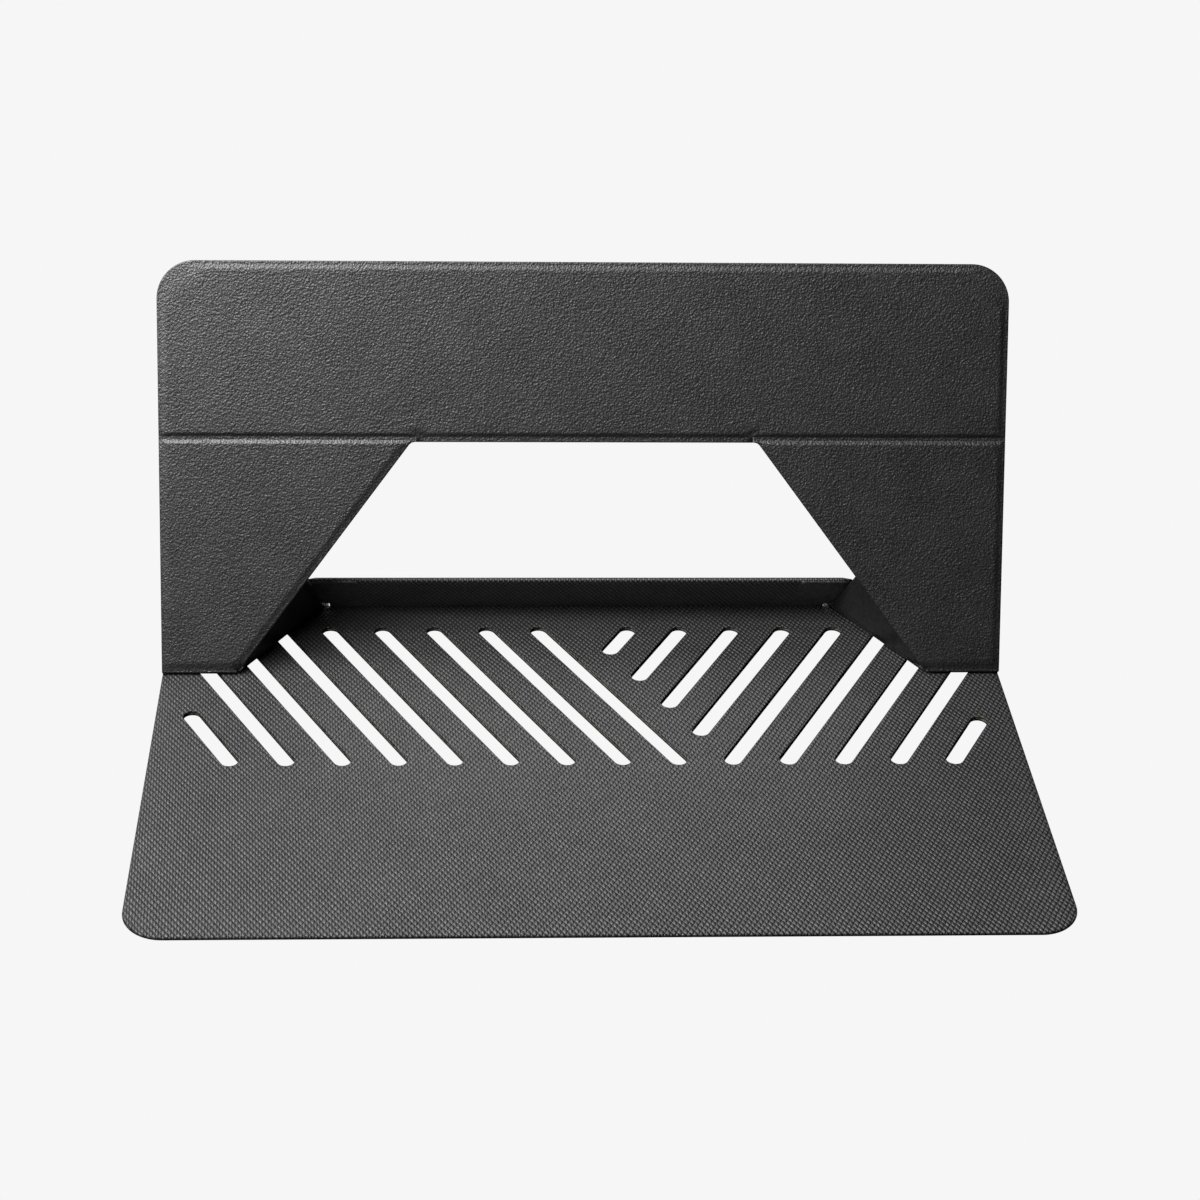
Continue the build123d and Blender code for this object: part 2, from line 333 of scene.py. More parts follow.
# The weave's dark end falls in its grooves, which is painted shade, and its light end falls on the pillows,
# which is painted highlight.
WEAVE_TONES = (0.12, 1.6)
WEAVE_ACROSS = 518.0       # half waves per metre, across and along the plate's depth
WEAVE_DEPTH = 316.5


def node_tree(name):
    material = bpy.data.materials.new(name)
    material.use_nodes = True
    tree = material.node_tree
    return material, tree, tree.nodes["Principled BSDF"]


def node(tree, kind, **settings):
    made = tree.nodes.new(kind)
    for key, value in settings.items():
        if key in made.inputs:
            made.inputs[key].default_value = value
        else:
            setattr(made, key, value)
    return made


def maths(tree, operation, a, b=None):
    made = tree.nodes.new("ShaderNodeMath")
    made.operation = operation
    for socket, value in zip(made.inputs, (a, b)):
        if value is None:
            continue
        if isinstance(value, (int, float)):
            socket.default_value = value
        else:
            tree.links.new(value, socket)
    return made.outputs[0]


def ramp(tree, source, low, high, dark, light):
    """A colour between dark and light as the source goes from low to high."""
    made = tree.nodes.new("ShaderNodeValToRGB")
    made.color_ramp.elements[0].position = low
    made.color_ramp.elements[0].color = dark
    made.color_ramp.elements[1].position = high
    made.color_ramp.elements[1].color = light
    tree.links.new(source, made.inputs[0])
    return made.outputs[0]


def grey(value):
    return (value, value, value, 1)


def leather_material(name, value, grain=1.0):
    """Fine pebbled leather-look coating: small, sharply drawn wrinkles with a faint mottle. Its colour is
    lighter on the raised wrinkles and darker between them, which is painted highlight and painted shade; the
    mottle is a random tone.
    """
    material, tree, shader = node_tree(name)
    place = node(tree, "ShaderNodeTexCoord").outputs["Object"]
    cells = node(tree, "ShaderNodeTexVoronoi", feature="F1", Scale=1250.0)
    wrinkles = node(tree, "ShaderNodeTexNoise", Scale=1350.0, Detail=2.0, Roughness=0.6, Distortion=0.3)
    folds = node(tree, "ShaderNodeTexNoise", Scale=760.0, Detail=2.0, Roughness=0.5, Distortion=0.3)
    mottle = node(tree, "ShaderNodeTexNoise", Scale=45.0, Detail=4.0, Roughness=0.65)
    for texture in (cells, wrinkles, folds, mottle):
        tree.links.new(place, texture.inputs["Vector"])
    coarse = maths(tree, "MULTIPLY", folds.outputs["Fac"], 0.7)
    fine = maths(tree, "ADD", cells.outputs["Distance"], wrinkles.outputs["Fac"])
    bump = node(tree, "ShaderNodeBump", Strength=1.0, Distance=0.00016 * grain)
    tree.links.new(maths(tree, "ADD", fine, coarse), bump.inputs["Height"])
    tree.links.new(bump.outputs["Normal"], shader.inputs["Normal"])
    # Colour follows the wrinkles of the bump: lighter on them and darker between them. This is a painted
    # highlight and painted shade.
    painted_relief_shading = maths(tree, "MULTIPLY", wrinkles.outputs["Fac"], 0.7)
    faint = maths(tree, "MULTIPLY", mottle.outputs["Fac"], 0.3)
    dark, light = (grey(value * tone) for tone in LEATHER_TONES)
    colour = ramp(tree, maths(tree, "ADD", painted_relief_shading, faint), 0.4, 0.6, dark, light)
    tree.links.new(colour, shader.inputs["Base Color"])
    rough = ramp(tree, wrinkles.outputs["Fac"], 0.3, 0.7, grey(0.48), grey(0.36))
    tree.links.new(rough, shader.inputs["Roughness"])
    shader.inputs["Specular IOR Level"].default_value = SHEEN
    return material


def woven_material(name, value, turn):
    """Coated basket weave: staggered pillows between two families of slanted grooves. Its colour is darkened
    in the grooves and lightened on the pillows, which is painted shade and painted highlight, with faint
    random patches.
    """
    material, tree, shader = node_tree(name)
    place = node(tree, "ShaderNodeTexCoord").outputs["Object"]
    turned = node(tree, "ShaderNodeMapping")
    turned.inputs["Rotation"].default_value = (0, 0, turn)
    tree.links.new(place, turned.inputs["Vector"])
    wobble = node(tree, "ShaderNodeTexNoise", Scale=160.0, Detail=1.0)
    tree.links.new(place, wobble.inputs["Vector"])
    split = node(tree, "ShaderNodeSeparateXYZ")
    tree.links.new(turned.outputs["Vector"], split.inputs[0])
    stray = maths(tree, "MULTIPLY", maths(tree, "SUBTRACT", wobble.outputs["Fac"], 0.5), 0.35)
    across = maths(tree, "ADD", maths(tree, "MULTIPLY", split.outputs["X"], WEAVE_ACROSS), stray)
    depth = maths(tree, "MULTIPLY", split.outputs["Y"], WEAVE_DEPTH)
    waves = []
    for operation, sharpness in (("ADD", 0.85), ("SUBTRACT", 0.5)):
        phase = maths(tree, "MULTIPLY", maths(tree, operation, across, depth), math.pi)
        wave = maths(tree, "ABSOLUTE", maths(tree, "SINE", phase))
        waves.append(maths(tree, "POWER", wave, sharpness))
    pillow = maths(tree, "MULTIPLY", waves[0], waves[1])
    fibres = node(tree, "ShaderNodeTexNoise", Scale=1500.0, Detail=2.0)
    tree.links.new(place, fibres.inputs["Vector"])
    relief = maths(tree, "ADD", pillow, maths(tree, "MULTIPLY", fibres.outputs["Fac"], 0.45))
    bump = node(tree, "ShaderNodeBump", Strength=1.0, Distance=0.00042)
    tree.links.new(relief, bump.inputs["Height"])
    tree.links.new(bump.outputs["Normal"], shader.inputs["Normal"])
    patch = node(tree, "ShaderNodeTexNoise", Scale=45.0, Detail=3.0, Roughness=0.6)
    tree.links.new(place, patch.inputs["Vector"])
    # Colour follows the weave's relief: dark in the grooves and light on the pillows. This is painted shade
    # and a painted highlight; the patches are a random tone.
    painted_relief_shading = maths(tree, "MULTIPLY", pillow, 0.8)
    faint = maths(tree, "MULTIPLY", patch.outputs["Fac"], 0.4)
    dark, light = (grey(value * tone) for tone in WEAVE_TONES)
    colour = ramp(tree, maths(tree, "ADD", painted_relief_shading, faint), 0.25, 0.95, dark, light)
    tree.links.new(colour, shader.inputs["Base Color"])
    rough = ramp(tree, fibres.outputs["Fac"], 0.3, 0.7, grey(0.42), grey(0.6))
    tree.links.new(rough, shader.inputs["Roughness"])
    shader.inputs["Specular IOR Level"].default_value = SHEEN
    return material


def board_material(name):
    """Pale glass-fibre board with a fine criss-cross of strands."""
    material, tree, shader = node_tree(name)
    place = node(tree, "ShaderNodeTexCoord").outputs["Object"]
    strands = node(tree, "ShaderNodeTexWave", Scale=180.0, Distortion=1.5, Detail=2.0)
    speck = node(tree, "ShaderNodeTexNoise", Scale=600.0, Detail=3.0)
    for texture in (strands, speck):
        tree.links.new(place, texture.inputs["Vector"])
    tone = maths(tree, "MULTIPLY", strands.outputs["Fac"], speck.outputs["Fac"])
    colour = ramp(tree, tone, 0.1, 0.7, (0.2, 0.21, 0.16, 1), (0.42, 0.43, 0.34, 1))
    tree.links.new(colour, shader.inputs["Base Color"])
    bump = node(tree, "ShaderNodeBump", Strength=0.4, Distance=0.00005)
    tree.links.new(speck.outputs["Fac"], bump.inputs["Height"])
    tree.links.new(bump.outputs["Normal"], shader.inputs["Normal"])
    shader.inputs["Roughness"].default_value = 0.6
    return material


def steel_material(name, value):
    """Plated steel with fine brushed lines."""
    material, tree, shader = node_tree(name)
    place = node(tree, "ShaderNodeTexCoord").outputs["Object"]
    stretch = node(tree, "ShaderNodeMapping")
    stretch.inputs["Scale"].default_value = (40, 2400, 2400)
    tree.links.new(place, stretch.inputs["Vector"])
    lines = node(tree, "ShaderNodeTexNoise", Scale=1.0, Detail=3.0)
    tree.links.new(stretch.outputs["Vector"], lines.inputs["Vector"])
    colour = ramp(tree, lines.outputs["Fac"], 0.3, 0.7, grey(value * 0.85), grey(value))
    tree.links.new(colour, shader.inputs["Base Color"])
    rough = ramp(tree, lines.outputs["Fac"], 0.3, 0.7, grey(0.25), grey(0.4))
    tree.links.new(rough, shader.inputs["Roughness"])
    shader.inputs["Metallic"].default_value = 1.0
    return material


LEATHER = leather_material("leather_look", 0.0155)
COVER = leather_material("smooth_cover", 0.014, 0.3)
# The tabs are the smooth cover leather at about five times its value. This is painted light on the flap's
# shaded ends, standing in for bounce light.
TAB_COVER_PAINTED_LIGHT = leather_material("smooth_tab_painted_light", 0.075, 0.15)
WOVEN_PLATE = woven_material("woven_plate", 0.022, math.radians(-4))
# The flap's lining is the plate's weave at about four times its value. This is painted light: it stands in
# for the light bounced up onto the flap, which faces down and forward.
WOVEN_FLAP_PAINTED_LIGHT = woven_material("woven_flap_painted_light", 0.09, 0.0)
BOARD = board_material("fibre_board")
MAGNET = steel_material("plated_magnet", 0.62)
KEEPER = steel_material("keeper_steel", 0.5)


# ---------------------------------------------------------------- skins
# How a panel is pressed along a fold: thin on the axis, then a ramp to its full thickness,
# as (half thickness on the axis, where the ramp starts, how wide it is).
CREASE = (0.3, 0.45, 1.65)
FOOT = (0.34, 0.3, 3.6)
ROOT_FOLD = (0.34, 0.3, 2.2)
PLATE_CREASE = (0.4, 0.4, 1.1)
HOLE_EDGE = 0.3            # radius of the slots' upper and lower edges
PAD_EDGE = 0.8             # radius of the pads' upper edge
PAD_WALL = 0.65            # how far in the pads' cover reaches down to the plate

# Crease bands
BEND_HALF = 0.35           # half the width over which a band turns
HOLLOW_HALF = 0.08         # half thickness on the hollow side of a bend
BAND_START = 0.6           # where a band starts along its fold line


def bevel(d, edge, start, width, power, rim, full):
    """Rolled outer edge, then a soft pressed ramp from the rim's height up to the full one."""
    ramp_up = smooth_step((d - start) / width) ** power
    return np.minimum(edge_cap(d, edge), rim + (full - rim) * ramp_up)


def rim_height(d):
    return bevel(d, edge=0.5, start=0.7, width=2.6, power=1.35, rim=PANEL_RIM, full=PANEL_HALF)


def leg_rim(d):
    """The legs' bevel: deeper at the edge than the strip's."""
    return bevel(d, edge=0.45, start=0.4, width=2.9, power=1.2, rim=PANEL_RIM, full=PANEL_HALF)


def plate_height(d):
    return bevel(d, edge=0.75, start=0.7, width=1.7, power=1.0, rim=PLATE_RIM, full=PLATE_HALF)


def thin_height(d):
    return edge_cap(d, 0.28)


def fold_height(d, half, pressed):
    axis_half, start, width = pressed
    return axis_half + (half - axis_half) * smooth_step((d - start) / width)


def line_distance(points, start, end):
    """Distance of points to the left of a line."""
    dx = end[0] - start[0]
    dy = end[1] - start[1]
    length = math.hypot(dx, dy)
    return ((points[:, 1] - start[1]) * dx - (points[:, 0] - start[0]) * dy) / length


def on_line(loop, start, end):
    """Which of an outline's small steps lie along the line between two points."""
    near = np.abs(line_distance(loop, start, end)) < 0.02
    return near & np.roll(near, -1)


class PanelShape:
    """A panel's triangles and heights, made once and used for both of its skins.

    Folds lists the outline's edges that run along a fold, as {edge: (fold line, pressing)};
    thin lists the edges of pressed skin with no board behind them.  All others are rims.
    """

    def __init__(self, corners, radii, folds, rim, gaps, half, thin=(), holes=()):
        loop = rounded(corners, radii)
        self.flat, self.faces = mesh_panel(loop, list(holes), gaps, GRID_STEP)
        steps = steps_of(loop)
        kind = np.zeros(len(loop), int)
        count = len(corners)
        for k in list(folds) + list(thin):
            along = on_line(loop, corners[k], corners[(k + 1) % count])
            kind[along] = 1 if k in folds else 2
        heights = np.minimum(rim(open_distance(self.flat, steps[kind == 0])), half)
        if thin:
            heights = np.minimum(heights, thin_height(open_distance(self.flat, steps[kind == 2])))
        for line, pressed in folds.values():
            heights = np.minimum(heights, fold_height(line_distance(self.flat, *line), half, pressed))
        if holes:
            hole_gap = np.min([distance(self.flat, hole) for hole in holes], axis=0)
            heights = np.minimum(heights, half - HOLE_EDGE + edge_cap(hole_gap, HOLE_EDGE))
        self.outer = np.maximum(heights, THINNEST)
        self.inner = np.clip(self.outer - SKIN, 0, BOARD_HALF)

    def skin(self, name, place, side):
        """One of the panel's two skins; side is 1 for the face and -1 for the back."""
        made = shell(name, self.flat, self.faces, self.outer, self.inner, side)
        made.matrix_world = place
        return made


def mirrored(source, name):
    """The left-hand twin of a right-hand piece."""
    mesh = source.data.copy()
    mesh.name = name
    mesh.transform(source.matrix_world)
    mesh.transform(MIRROR)
    mesh.flip_normals()
    place = MIRROR @ source.matrix_world @ MIRROR
    mesh.transform(place.inverted())
    made = bpy.data.objects.new(name, mesh)
    bpy.context.scene.collection.objects.link(made)
    made.matrix_world = place
    return made


def finish_piece(piece, body, material, slot_name, *stands_for):
    piece.data.materials.clear()
    piece.data.materials.append(material)
    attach(piece, body)
    if stands_for:
        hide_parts(*stands_for)


def pair(piece, stem, right_body, left_body, material, slot_name):
    """Finishes a right-hand piece and makes its left-hand twin; both replace the CAD nodes."""
    twin = mirrored(piece, "visual_" + stem + "_left")
    finish_piece(piece, right_body, material, slot_name, stem + "_right")
    finish_piece(twin, left_body, material, slot_name, stem + "_left")


def crease_band(name, origin, along, away, bend, span, pressed, half):
    """The pressed skin over a fold, joining two panels.

    It is drawn straight, from the parent's side to the child's, and bent about the fold line to
    its rest angle.  Bent bands turn about their hollow side, which is kept thin.
    """
    start, end, low_cap, high_cap = span
    normal = along.cross(away)
    steps = np.linspace(-FOLD_HALF, FOLD_HALF, BAND_STEPS)
    turn_half = BEND_HALF if bend else FOLD_HALF
    fine = np.array(BAND_GAPS)
    middle = np.linspace(start + fine[-1], end - fine[-1], max(2, int((end - start) / GRID_STEP)))
    lengths = np.concatenate([start + fine, middle[1:-1], end - fine[::-1]])
    full = fold_height(np.abs(steps), half, pressed)
    points = []
    for place in lengths:
        cap = min(low_cap(place - start), high_cap(end - place))
        heights = np.maximum(np.minimum(full, cap), THINNEST)
        hollow = np.minimum(heights, HOLLOW_HALF)
        above = hollow if bend > 0 else heights
        below = hollow if bend < 0 else heights
        ring = list(zip(steps, above)) + list(zip(steps[::-1], -below[::-1]))
        for s, h in ring:
            share = float(smooth_step((s + turn_half) / (2 * turn_half)))
            turn = Matrix.Rotation(bend * share, 3, along)
            points.append(origin / MM + along * place + turn @ (away * s + normal * h))
    ring_size = 2 * BAND_STEPS
    faces = []
    for first in range(0, len(points) - ring_size, ring_size):
        for i in range(ring_size):
            j = (i + 1) % ring_size
            near = (first + i, first + j)
            far = (first + ring_size + j, first + ring_size + i)
            faces.append(near + far)
    faces.append(tuple(reversed(range(ring_size))))
    faces.append(tuple(range(len(points) - ring_size, len(points))))
    return make_object(name, np.array([tuple(p) for p in points]) * MM, [f[::-1] for f in faces])


def finish_band(band, parent, child, origin, parent_way, child_way, material, slot_name, *nodes):
    """Gives a band its material, bakes its placement into its mesh and hides the CAD nodes it stands for; the
    ways, which point from the fold into each panel at rest, are not used.
    """
    band.data.materials.append(material)
    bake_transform(band)
    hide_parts(*nodes)


def mirror_vector(v):
    """The same place or direction on the left-hand side."""
    return Vector((-v.x, v.y, v.z))


def make_side_creases():
    """The folds of the legs, the strip and the gussets, on the right and mirrored on the left."""
    foot = crease_band("visual_leg_crease_right", leg_line, X_AXIS, -back_way, -joint_range("leg_fold"),
                       (FOOT_INNER + BAND_START, HALF_WIDTH, thin_height, rim_height), FOOT, PANEL_HALF)
    crease = crease_band("visual_strip_crease_right", strip_line, X_AXIS, lean_way, 0.0,
                         (CREASE_START, HALF_WIDTH, thin_height, rim_height), CREASE, PANEL_HALF)
    root = crease_band("visual_gusset_crease_right", gusset_line, gusset_along, gusset_inward, gusset_raise,
                       (BAND_START, GUSSET_LENGTH - 0.05, thin_height, thin_height), ROOT_FOLD, PANEL_HALF)
    right = (foot, crease, root)
    left = [mirrored(band, band.name.replace("right", "left")) for band in right]
    for side, bands, flip in (("right", right, Vector), ("left", left, mirror_vector)):
        folds = [
            ("leg_crease_", "base", "legs", leg_line, back_way, lean_way),
            ("strip_crease_", "legs", "strip", strip_line, -lean_way, lean_way),
            ("gusset_crease_", "base", "gusset_" + side, gusset_line, -gusset_inward, gusset_way)]
        for band, (stem, parent, child, at, parent_way, child_way) in zip(bands, folds):
            finish_band(band, parent, child, flip(at), flip(parent_way), flip(child_way),
                        LEATHER, "leather", stem + side)


def make_flap_crease():
    band = crease_band("visual_flap_crease", flap_line, X_AXIS, back_way, joint_range("rear_flap_fold"),
                       (-FLAP_ROOT, FLAP_ROOT, thin_height, thin_height), PLATE_CREASE, PLATE_HALF)
    # The flap's crease band also takes the brightened weave, which carries painted light.
    finish_band(band, "base", "rear_flap", flap_line, -back_way, flap_way, WOVEN_FLAP_PAINTED_LIGHT, "woven", "flap_crease")


def slot_outlines():
    """Vent slots of both sets, as closed outlines.

    A slot runs from its front centre to its rear one, at the set's slope, and is cut short where it
    would come too near the plate's side or, in the right set, the first slot of the left set.
    """
    centres = []
    side_limit = HALF_WIDTH - SIDE_MARGIN
    for index in range(SLOT_COUNT):
        front_x = LEFT_SET_START - index * SLOT_PITCH
        rear_y = min(SLOT_REAR, SLOT_FRONT + (front_x + side_limit) / SLOT_SLOPE)
        rear_x = front_x - SLOT_SLOPE * (rear_y - SLOT_FRONT)
        centres.append((Vector((front_x, SLOT_FRONT)), Vector((rear_x, rear_y))))
    for index in range(SLOT_COUNT):
        base_x = RIGHT_SET_START + (index - RIGHT_SET_CUT) * SLOT_PITCH
        room = (LEFT_SET_START + SET_SPACING - base_x) / (2 * SLOT_SLOPE)
        front_y = SLOT_FRONT + max(0.0, room)
        rear_y = min(SLOT_REAR, SLOT_FRONT + (side_limit - base_x) / SLOT_SLOPE)
        front_x = base_x + SLOT_SLOPE * (front_y - SLOT_FRONT)
        rear_x = base_x + SLOT_SLOPE * (rear_y - SLOT_FRONT)
        centres.append((Vector((front_x, front_y)), Vector((rear_x, rear_y))))
    outlines = []
    for front, rear in centres:
        run = (rear - front).normalized()
        side = Vector((-run.y, run.x)) * SLOT_HALF
        ends = run * SLOT_HALF
        box = [front - ends + side, front - ends - side, rear + ends - side, rear + ends + side]
        round_end = SLOT_HALF - 0.01
        outlines.append(rounded([tuple(point) for point in box], [round_end] * 4, SLOT_STEP))
    return outlines


def make_plate():
    """The plate's two skins, with the slots and a notch at the back for the flap's fold."""
    side = HALF_WIDTH
    root = ROOT + 0.05
    back = BACK + PLATE_TAIL
    cut = BACK - FOLD_HALF
    corners = [(-side, -FRONT), (side, -FRONT), (side, back), (root, back), (root, cut),
               (-root, cut), (-root, back), (-side, back)]
    radii = [CORNER, CORNER, BACK_CORNER, 0.6, SHARP, SHARP, 0.6, BACK_CORNER]
    shape = PanelShape(corners, radii, {4: (((root, BACK), (-root, BACK)), PLATE_CREASE)},
                       plate_height, PLATE_GAPS, PLATE_HALF, holes=slot_outlines())
    lining = shape.skin("visual_base_lining", plate_frame, 1)
    finish_piece(lining, "base", WOVEN_PLATE, "woven", "base_lining")
    cover = shape.skin("visual_base_cover", plate_frame, -1)
    finish_piece(cover, "base", COVER, "leather", "base_cover")


def make_pads():
    """Anchor pads on the plate: sealed blocks whose two folded edges carry the leg and the gusset."""
    low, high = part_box("pad_cover_right")
    level = (leg_line.z - low.z) / MM
    depth = (high.z - low.z) / MM
    board_top = (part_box("pad_board_right")[1].z - low.z) / MM
    points = [(FOOT_INNER, 0), (HALF_WIDTH, 0), (HALF_WIDTH, BACK), (ROOT, BACK)]
    cut = inset(points, [FOLD_HALF, 0, SHARP, FOLD_HALF])
    loop = rounded(cut, [1.5, 0.3, BACK_CORNER, 0.2])
    flat, faces = mesh_panel(loop, [], PAD_GAPS, GRID_STEP)
    steps = steps_of(loop)
    fold = on_line(loop, cut[0], cut[1]) | on_line(loop, cut[3], cut[0])
    gap = open_distance(flat, steps[~fold])
    outer = depth - PAD_EDGE + edge_cap(gap, PAD_EDGE)
    for start, end, pressed in ((points[0], points[1], FOOT), (points[3], points[0], ROOT_FOLD)):
        fold_gap = line_distance(flat, start, end)
        outer = np.minimum(outer, level + fold_height(fold_gap, PANEL_HALF, pressed))
    outer = np.minimum(outer, depth)
    hollow = np.minimum(board_top + 0.02, outer - 0.2)
    inner = np.where(distance(flat, loop) < PAD_WALL, 0.0, hollow)
    piece = shell("visual_pad_cover_right", flat, faces, outer, inner, 1)
    piece.matrix_world = Matrix.Translation((0, leg_line.y, low.z))
    pair(piece, "pad_cover", "base", "base", COVER, "leather")


def make_strip():
    """The strip's two skins; between the creases its lower edge is a thin lip over the window."""
    side = HALF_WIDTH
    window = CREASE_START - 0.04
    corners = [(-side, FOLD_HALF), (-window, FOLD_HALF), (-window, -STRIP_LIP), (window, -STRIP_LIP),
               (window, FOLD_HALF), (side, FOLD_HALF), (side, STRIP_HEIGHT), (-side, STRIP_HEIGHT)]
    radii = [SHARP, SHARP, 0.15, 0.15, SHARP, SHARP, CORNER, CORNER]
    line = ((-side, 0), (side, 0))
    shape = PanelShape(corners, radii, {0: (line, CREASE), 4: (line, CREASE)}, rim_height, RIM_GAPS,
                       PANEL_HALF, thin=(1, 2, 3))
    for name, way in (("strip_face", 1), ("strip_back", -1)):
        piece = shape.skin("visual_" + name, strip_frame, way)
        finish_piece(piece, "strip", LEATHER if way > 0 else COVER, "leather", name)


def make_legs():
    """The legs' skins; a thin web with a rounded corner joins each to the lip over the window."""
    points = [(FOOT_INNER, 0), (HALF_WIDTH, 0), (HALF_WIDTH, LEG_HEIGHT), (TOP_INNER, LEG_HEIGHT)]
    slope = (FOOT_INNER - TOP_INNER) / LEG_HEIGHT
    lip_level = LEG_HEIGHT - STRIP_LIP
    corners = inset(points, [FOLD_HALF, 0, FOLD_HALF, 0])[:3]
    corners += [(CREASE_START, LEG_HEIGHT - FOLD_HALF), (CREASE_START, lip_level),
                (TOP_INNER + slope * STRIP_LIP, lip_level)]
    shape = PanelShape(
        corners, [1.2, SHARP, SHARP, SHARP, SHARP, WINDOW_ROUND],
        {0: ((points[0], points[1]), FOOT), 2: ((points[2], points[3]), CREASE)},
        leg_rim, RIM_GAPS, PANEL_HALF, thin=(3, 4))
    for name, way in (("leg_face", 1), ("leg_back", -1)):
        piece = shape.skin("visual_" + name + "_right", leg_frame, way)
        pair(piece, name, "legs", "legs", LEATHER if way > 0 else COVER, "leather")


def gap_to_plane(start, end, plane_point, plane_out):
    """How far a gusset's edge moves in from its line so that its rim just clears a plane."""
    across = Vector((-(end[1] - start[1]), end[0] - start[0], 0)).normalized()
    turn = gusset_frame.to_3x3()
    slope = (turn @ across).dot(plane_out)
    spread = abs((turn @ Vector((0, 0, 1))).dot(plane_out)) * PANEL_RIM
    now = (gusset_frame @ (Vector((start[0], start[1], 0)) * MM) - plane_point).dot(plane_out) / MM
    return (GUSSET_CLEARANCE + spread - now) / slope


def make_gussets():
    """The gussets' skins: triangles between the pad, the leg's back and the flap's tab."""
    tip = (GUSSET_EDGE * math.cos(GUSSET_ANGLE), GUSSET_EDGE * math.sin(GUSSET_ANGLE))
    points = [(0, 0), (GUSSET_LENGTH, 0), tip]
    flap_out = flap_frame.to_3x3() @ Vector((0, 0, 1))
    leg_out = leg_frame.to_3x3() @ Vector((0, 0, -1))
    flap_face = flap_frame.translation + flap_out * (PLATE_HALF + TAB) * MM
    leg_face = leg_frame.translation + leg_out * PANEL_HALF * MM
    trims = [FOLD_HALF, gap_to_plane(points[1], points[2], flap_face, flap_out),
             gap_to_plane(points[2], points[0], leg_face, leg_out)]
    corners = inset(points, trims)
    shape = PanelShape(corners, [0.5, 0.5, 3.0], {0: ((points[0], points[1]), ROOT_FOLD)},
                       rim_height, RIM_GAPS, PANEL_HALF)
    for name, way in (("gusset_face", 1), ("gusset_back", -1)):
        piece = shape.skin("visual_" + name + "_right", gusset_frame, way)
        pair(piece, name, "gusset_right", "gusset_left", COVER, "leather")


def make_flap():
    """Low rear flap; its ends reach behind the gussets' edges, and smooth tabs cover their faces."""
    neck = 4.1
    shoulder = 4.5
    ends = [(FLAP_ROOT, FOLD_HALF), (FLAP_ROOT + 0.25, neck),
            (FLAP_ROOT + FLAP_FLARE * shoulder + FLAP_REACH, shoulder),
            (FLAP_ROOT + FLAP_FLARE * FLAP_HEIGHT + FLAP_REACH, FLAP_HEIGHT)]
    corners = [(-ends[0][0], FOLD_HALF)] + ends + [(-x, y) for x, y in ends[:0:-1]]
    radii = [SHARP, SHARP, 0.2, 0.3, 1.5, 1.5, 0.3, 0.2]
    line = ((-FLAP_ROOT, 0), (FLAP_ROOT, 0))
    shape = PanelShape(corners, radii, {0: (line, PLATE_CREASE)}, plate_height, PLATE_GAPS, PLATE_HALF)
    lining = shape.skin("visual_flap_lining", flap_frame, 1)
    # The lining takes the brightened weave, which carries painted light on the shaded flap.
    finish_piece(lining, "rear_flap", WOVEN_FLAP_PAINTED_LIGHT, "woven", "flap_lining")
    cover = shape.skin("visual_flap_cover", flap_frame, -1)
    finish_piece(cover, "rear_flap", COVER, "leather", "flap_cover")
    make_tabs(ends, neck, shoulder)


def make_tabs(ends, neck, shoulder):
    """Smooth tabs a little inside the flap's outline, rooted in its face and rising towards its ends."""
    inner = FLAP_ROOT - TAB_LENGTH
    foot = 1.4
    side_inset = 0.3
    margin = 0.4
    slant = 1.5
    tab_top = FLAP_HEIGHT - margin
    outer_end = ends[2][0] - 2 * side_inset
    tab = [(inner, foot), (ends[0][0] - side_inset, foot), (ends[1][0] - side_inset, neck + margin),
           (outer_end, shoulder + margin), (outer_end + FLAP_FLARE * (tab_top - shoulder), tab_top),
           (inner + slant, tab_top)]
    loop = rounded(tab, [0.4, 0.2, SHARP, 0.2, 1.2, 0.4])
    flat, faces = mesh_panel(loop, [], TAB_GAPS, TAB_GAPS[-1])
    rise_run = 6.0
    edge_run = 0.25
    rise = smooth_step((flat[:, 0] - inner) / rise_run) * 0.85 + 0.1
    soft_edge = np.minimum(1, distance(flat, loop) / edge_run)
    outer = PLATE_HALF + (TAB * rise) * soft_edge - 0.01
    under = np.full(len(flat), PLATE_HALF - 0.1)
    piece = shell("visual_flap_tab_right", flat, faces, outer, under, 1)
    piece.matrix_world = flap_frame
    twin = mirrored(piece, "visual_flap_tab_left")
    for tab_piece in (piece, twin):
        # The tabs take the brightened leather, which carries painted light.
        finish_piece(tab_piece, "rear_flap", TAB_COVER_PAINTED_LIGHT, "leather")


make_plate()
make_pads()
make_strip()
make_legs()
make_gussets()
make_flap()
make_side_creases()
make_flap_crease()

INNER_MATERIALS = {"board": BOARD, "magnets": MAGNET, "keepers": KEEPER}

for name, cad_node in frame["nodes"].items():
    if cad_node.hide_render:
        continue
    cad_node.data.materials.clear()
    for word, material in INNER_MATERIALS.items():
        if word in name:
            cad_node.data.materials.append(material)


# ---------------------------------------------------------------- floor, lights and camera
def emission_material(name, value):
    material = bpy.data.materials.new(name)
    material.use_nodes = True
    tree = material.node_tree
    tree.nodes.clear()
    glow = node(tree, "ShaderNodeEmission", Color=grey(value), Strength=1.0)
    out = tree.nodes.new("ShaderNodeOutputMaterial")
    tree.links.new(glow.outputs[0], out.inputs["Surface"])
    return material


PAPER = 0.922              # the pale floor's and background's brightness
FLOOR_HALF = 6.0
FLOOR_LEVEL = -0.0004

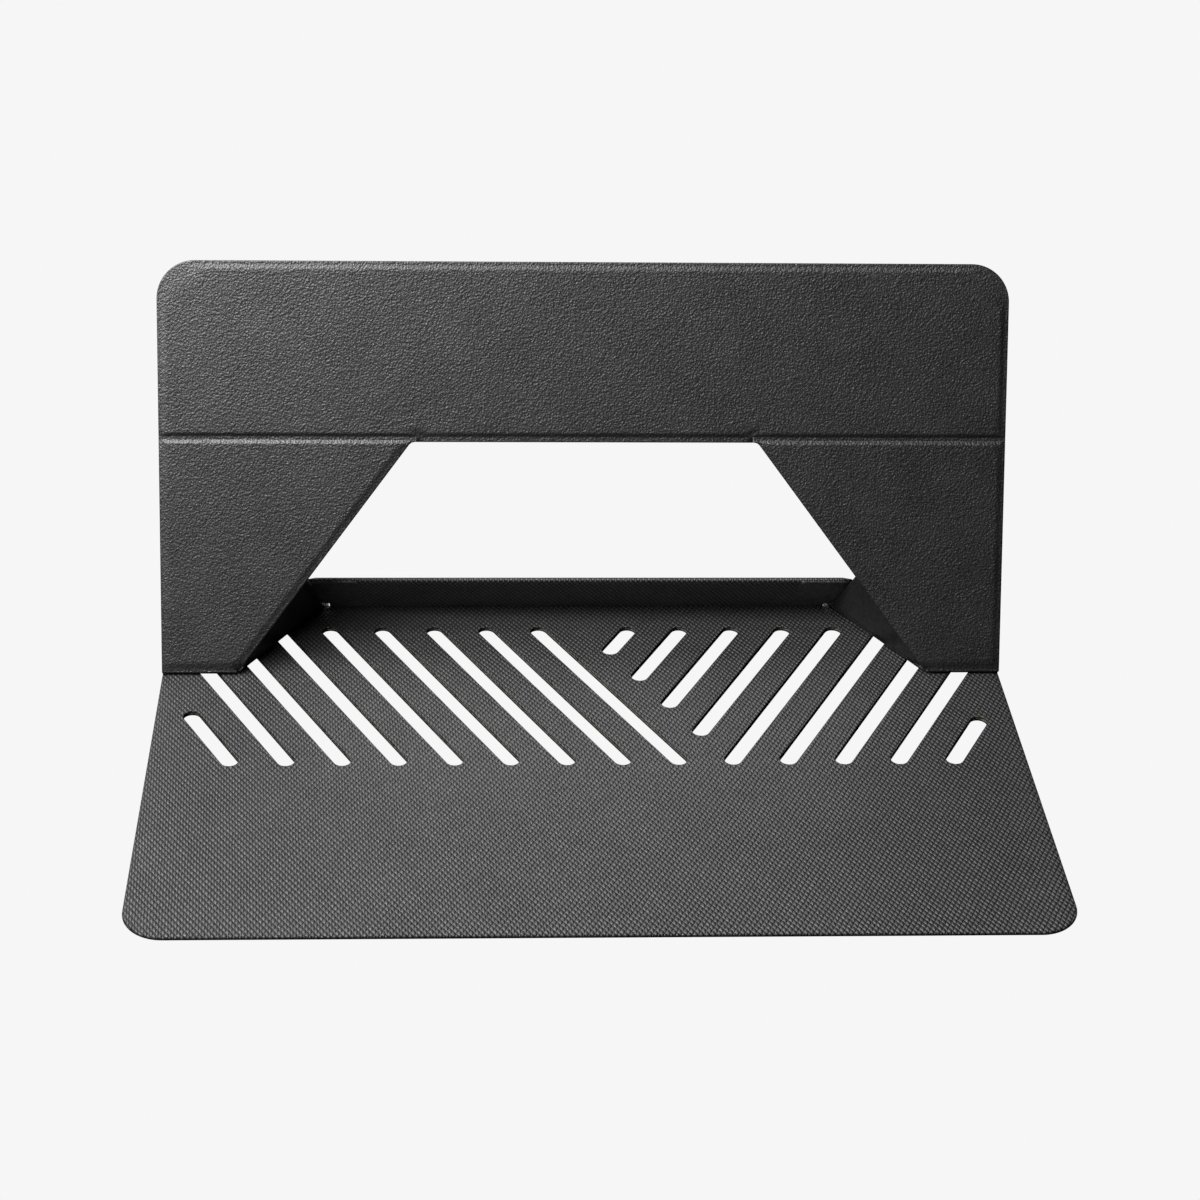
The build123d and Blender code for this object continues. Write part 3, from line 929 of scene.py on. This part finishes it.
corner_signs = ((-1, -1), (1, -1), (1, 1), (-1, 1))
floor_corners = [(x * FLOOR_HALF, y * FLOOR_HALF, FLOOR_LEVEL) for x, y in corner_signs]
floor = make_object("floor", floor_corners, [(0, 1, 2, 3)])
floor.data.materials.append(emission_material("pale_floor", PAPER))
floor.visible_diffuse = False
floor.visible_glossy = False

world = bpy.data.worlds.new("studio")
world.use_nodes = True
world.node_tree.nodes["Background"].inputs["Color"].default_value = grey(PAPER)
world.node_tree.nodes["Background"].inputs["Strength"].default_value = 1.0
world.cycles_visibility.diffuse = False
world.cycles_visibility.glossy = False
bpy.context.scene.world = world
bpy.context.scene.view_settings.view_transform = "Standard"

AIM = Vector((0, -0.02, 0.03))


def softbox(name, azimuth, elevation, reach, size, power):
    """A square area light aimed at the stand; azimuth 0 is in front and -90 on the left."""
    turn = math.radians(azimuth)
    rise = math.radians(elevation)
    way = Vector((math.sin(turn) * math.cos(rise), -math.cos(turn) * math.cos(rise), math.sin(rise)))
    light = bpy.data.lights.new(name, "AREA")
    light.shape = "SQUARE"
    light.size = size
    light.energy = power
    made = bpy.data.objects.new(name, light)
    bpy.context.scene.collection.objects.link(made)
    made.location = AIM + way * reach
    made.rotation_euler = (-way).to_track_quat("-Z", "Y").to_euler()


softbox("key", azimuth=-30, elevation=65, reach=1.6, size=0.8, power=14.8)
softbox("low_fill", azimuth=-35, elevation=12, reach=1.2, size=0.4, power=0.9)
softbox("rim_back", azimuth=180, elevation=25, reach=1.6, size=0.8, power=5.6)
softbox("rim_back_left", azimuth=-150, elevation=25, reach=1.6, size=0.8, power=3.2)
softbox("side_low", azimuth=-90, elevation=35, reach=0.45, size=0.2, power=0.9)
softbox("side_high", azimuth=-90, elevation=60, reach=0.5, size=0.2, power=1.5)
softbox("side_back", azimuth=-120, elevation=50, reach=0.5, size=0.2, power=0.92)
softbox("front_near", azimuth=-35, elevation=60, reach=0.6, size=0.2, power=0.65)

camera_data = bpy.data.cameras.new("camera")
camera_data.sensor_width = 36.0
camera_data.lens = 75.149
camera_data.shift_x = 0.04178
camera = bpy.data.objects.new("camera", camera_data)
bpy.context.scene.collection.objects.link(camera)
CAMERA_FROM_LEGS = Vector((-51.44, -771.15, 511.72)) * MM
YAW = math.radians(2.847)
PITCH = math.radians(31.903)
ROLL = math.radians(1.481)
camera.matrix_world = (
    Matrix.Translation(Vector((0, leg_line.y, leg_line.z)) + CAMERA_FROM_LEGS)
    @ Matrix.Rotation(-YAW, 4, "Z")
    @ Matrix.Rotation(math.pi / 2 - PITCH, 4, "X")
    @ Matrix.Rotation(ROLL, 4, "Z"))
bpy.context.scene.camera = camera
